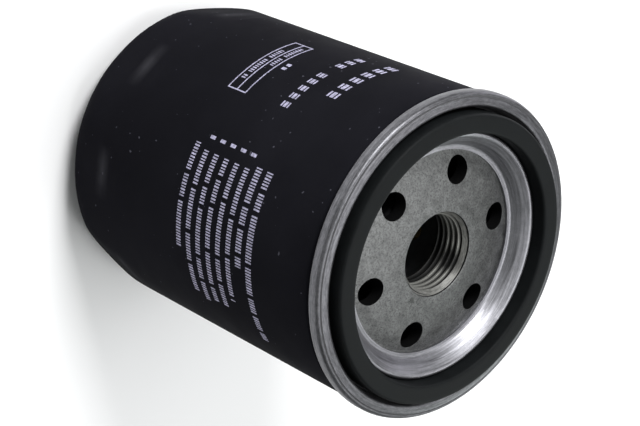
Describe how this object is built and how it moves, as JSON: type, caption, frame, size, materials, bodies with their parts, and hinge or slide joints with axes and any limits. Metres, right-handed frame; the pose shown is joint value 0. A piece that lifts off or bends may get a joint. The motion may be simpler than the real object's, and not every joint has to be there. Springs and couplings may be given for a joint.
{
  "type": "oil filter",
  "caption": "Spin-on oil filter with a drawn can, threaded plate, sealing gasket, anti-drain valve, pleated element and bypass valve.",
  "frame": {"origin": "centre of the surface that the closed end stands on", "axes": "+Z along the filter's axis towards the open, threaded end; +X through the middle of an inlet hole"},
  "size_m": [0.076, 0.076, 0.0997],
  "materials": {
    "can": "satin black paint",
    "seaming_lid": "tin-plated pressed steel",
    "seam_sealant": "cured sealing compound",
    "thread_plate": "matt pressed steel",
    "sealing_gasket": "moulded nitrile rubber",
    "drain_valve_hub": "moulded nitrile rubber",
    "drain_valve_web": "moulded nitrile rubber",
    "drain_valve_lip": "moulded nitrile rubber",
    "open_end_cap": "tin-plated pressed steel",
    "open_end_adhesive": "cured plastisol",
    "pleated_media": "resin-treated filter paper",
    "media_clip": "bright steel strip",
    "centre_tube": "perforated steel strip",
    "closed_end_adhesive": "cured plastisol",
    "closed_end_cap": "tin-plated pressed steel",
    "bypass_seat": "pressed steel",
    "bypass_seal": "nitrile rubber",
    "bypass_disc": "turned and pressed steel",
    "bypass_spring": "spring steel wire",
    "bypass_cage": "pressed steel",
    "element_spring": "blued spring steel"
  },
  "bodies": {
    "housing": {"can": "can", "seaming_lid": "seaming_lid", "seam_sealant": "seam_sealant", "thread_plate": "thread_plate", "sealing_gasket": "sealing_gasket", "drain_valve_hub": "drain_valve_hub", "open_end_cap": "open_end_cap", "open_end_adhesive": "open_end_adhesive", "pleated_media": "pleated_media", "media_clip": "media_clip", "centre_tube": "centre_tube", "closed_end_adhesive": "closed_end_adhesive", "closed_end_cap": "closed_end_cap", "bypass_seat": "bypass_seat", "bypass_cage": "bypass_cage", "element_spring": "element_spring"},
    "drain_lip": {"drain_valve_lip": "drain_valve_lip", "drain_valve_web": "drain_valve_web"},
    "bypass_valve": {"bypass_disc": "bypass_disc", "bypass_seal": "bypass_seal", "bypass_spring": "bypass_spring"}
  },
  "joints": [
    {"name": "drain_lip_drop", "type": "slide", "parent": "housing", "child": "drain_lip", "axis": [0, 0, -1], "range_m": [0, 0.0012], "stiffness_N_per_m": 500, "springref_m": -0.001, "deforming": ["drain_valve_web"]},
    {"name": "bypass_lift", "type": "slide", "parent": "housing", "child": "bypass_valve", "axis": [0, 0, 1], "range_m": [0, 0.003], "stiffness_N_per_m": 3000, "springref_m": -0.005, "deforming": ["bypass_spring"]}
  ]
}
